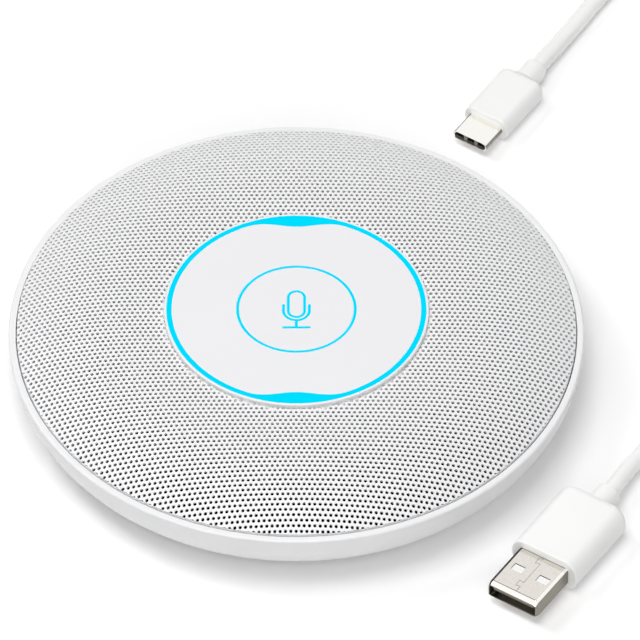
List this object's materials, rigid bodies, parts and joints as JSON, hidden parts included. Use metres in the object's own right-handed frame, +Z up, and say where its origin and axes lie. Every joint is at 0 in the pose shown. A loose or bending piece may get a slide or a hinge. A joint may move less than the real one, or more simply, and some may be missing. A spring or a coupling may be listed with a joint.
{
  "type": "conference microphone",
  "caption": "Round table-top conference microphone: domed perforated grille, lit centre panel with a pressing mute key, detachable USB-C to USB-A cable coiled beside it.",
  "frame": {"origin": "on the table, under the middle of the round body", "axes": "+Z up along the round body's axis, +Y to the rear where the USB-C port is, +X to the right seen from the front"},
  "size_m": [0.1912, 0.1947, 0.0215],
  "materials": {
    "white_abs": "fine matt moulded",
    "white_steel": "satin powder coat on perforated sheet",
    "black_cloth": "open acoustic mesh",
    "dark_abs": "moulded",
    "panel_plastic": "silky",
    "cyan_light_guide": "diffusing, lit cyan",
    "black_rubber": "matt",
    "green_board": "solder mask",
    "black_epoxy": "moulded",
    "led_white": "clear cap",
    "tinned_can": "drawn",
    "screw_steel": "zinc plated",
    "nickel_steel": "nickel plated",
    "gold_contact": "plated",
    "white_tpe": "smooth cable jacket",
    "grip_tpe": "fine spark texture"
  },
  "bodies": {
    "microphone": {"acoustic_cloth": "black_cloth", "board_link": "black_epoxy", "board_screw_1": "screw_steel", "board_screw_2": "screw_steel", "board_screw_3": "screw_steel", "cable_a_run": "white_tpe", "cable_c_run": "white_tpe", "cable_coil": "white_tpe", "cable_tie": "black_rubber", "capacitor": "tinned_can", "case_screw_1": "screw_steel", "case_screw_2": "screw_steel", "case_screw_3": "screw_steel", "case_screw_4": "screw_steel", "centre_bezel": "white_abs", "centre_panel": "panel_plastic", "foot_ring": "black_rubber", "grille": "white_steel", "inner_frame": "dark_abs", "key_halo": "cyan_light_guide", "light_board": "green_board", "light_ring": "cyan_light_guide", "lower_housing": "white_abs", "main_board": "green_board", "mic_boot_1": "black_rubber", "mic_boot_2": "black_rubber", "mic_boot_3": "black_rubber", "mic_boot_4": "black_rubber", "mic_capsule_1": "tinned_can", "mic_capsule_2": "tinned_can", "mic_capsule_3": "tinned_can", "mic_capsule_4": "tinned_can", "processor_chip": "black_epoxy", "ring_led_1": "led_white", "ring_led_2": "led_white", "ring_led_3": "led_white", "ring_led_4": "led_white", "ring_led_5": "led_white", "ring_led_6": "led_white", "ring_led_7": "led_white", "ring_led_8": "led_white", "switch_body": "black_epoxy", "usb_a_contact_1": "gold_contact", "usb_a_contact_2": "gold_contact", "usb_a_contact_3": "gold_contact", "usb_a_contact_4": "gold_contact", "usb_a_grip": "grip_tpe", "usb_a_insulator": "black_epoxy", "usb_a_shell": "nickel_steel", "usb_c_contact_block": "black_epoxy", "usb_c_grip": "grip_tpe", "usb_c_shell": "nickel_steel", "usb_c_socket": "nickel_steel", "usb_c_socket_tongue": "black_epoxy"},
    "key": {"mute_key": "panel_plastic", "icon_capsule": "cyan_light_guide", "icon_stand": "cyan_light_guide", "switch_plunger": "led_white"}
  },
  "joints": [
    {"name": "key_press", "type": "slide", "parent": "microphone", "child": "key", "axis": [0, 0, -1], "range_m": [0, 0.0006], "stiffness_N_per_m": 2500}
  ]
}
